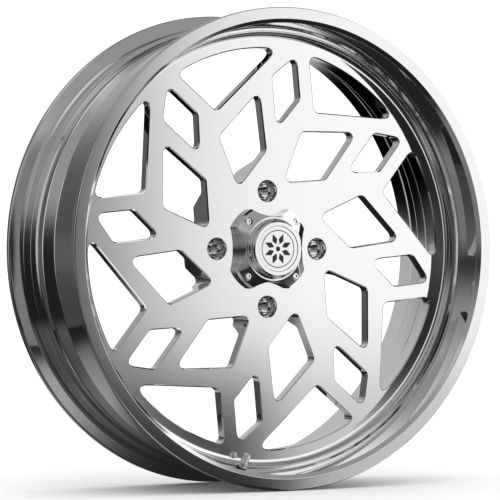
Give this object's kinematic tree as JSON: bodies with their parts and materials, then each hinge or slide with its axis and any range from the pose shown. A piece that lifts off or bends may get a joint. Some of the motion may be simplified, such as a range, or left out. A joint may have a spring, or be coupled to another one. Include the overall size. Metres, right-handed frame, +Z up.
{
  "type": "wheel rim",
  "caption": "Two-piece forged racing wheel rim: a flat face of angular windows set in a deep polished barrel, with a screwed centre cap and a clamp-in tyre valve.",
  "frame": {"origin": "on the wheel axis, halfway between the front and rear lip faces", "axes": "+Y along the wheel axis, from the street side to the vehicle side; +Z up, +X to the right as seen from the street side"},
  "size_m": [0.6446, 0.2018, 0.6446],
  "materials": {
    "barrel_polish": "mirror-polished forged aluminium",
    "centre_polish": "mirror-polished forged aluminium, machined behind",
    "bolt_steel": "zinc-plated steel",
    "cap_chrome": "bright chrome",
    "badge_metal": "satin polished disc",
    "screw_chrome": "bright plated steel",
    "valve_chrome": "bright chrome",
    "valve_brass": "plain brass",
    "spring_steel": "bright spring wire",
    "black_rubber": "matt black rubber"
  },
  "bodies": {
    "wheel": {"rim_barrel": "barrel_polish", "wheel_centre": "centre_polish", "cap_base": "cap_chrome", "cap_body": "cap_chrome", "cap_badge": "badge_metal", "cap_seal": "black_rubber", "valve_stem": "valve_chrome", "valve_inner_grommet": "black_rubber", "valve_outer_grommet": "black_rubber", "valve_washer": "valve_chrome", "valve_nut": "valve_chrome", "valve_core_body": "valve_brass", "valve_core_spring": "spring_steel", "assembly_bolt_01": "bolt_steel", "assembly_bolt_02": "bolt_steel", "assembly_bolt_03": "bolt_steel", "assembly_bolt_04": "bolt_steel", "assembly_bolt_05": "bolt_steel", "assembly_bolt_06": "bolt_steel", "assembly_bolt_07": "bolt_steel", "assembly_bolt_08": "bolt_steel", "assembly_bolt_09": "bolt_steel", "assembly_bolt_10": "bolt_steel", "assembly_bolt_11": "bolt_steel", "assembly_bolt_12": "bolt_steel", "assembly_bolt_13": "bolt_steel", "assembly_bolt_14": "bolt_steel", "assembly_bolt_15": "bolt_steel", "assembly_bolt_16": "bolt_steel", "cap_screw_1": "screw_chrome", "cap_screw_2": "screw_chrome", "cap_screw_3": "screw_chrome", "cap_screw_4": "screw_chrome"},
    "core_pin": {"valve_core_pin": "valve_brass"},
    "valve_cap": {"valve_cap": "valve_chrome", "valve_cap_seal": "black_rubber"}
  },
  "joints": [
    {"name": "core_pin_press", "type": "slide", "parent": "wheel", "child": "core_pin", "axis": [-0.1325, 0.5, -0.8558], "range_m": [0, 0.0015], "stiffness_N_per_m": 1500, "deforming": ["valve_core_spring"]},
    {"name": "valve_cap_unscrew", "type": "slide", "parent": "wheel", "child": "valve_cap", "axis": [0.1325, -0.5, 0.8558], "range_m": [0, 0.013]}
  ]
}
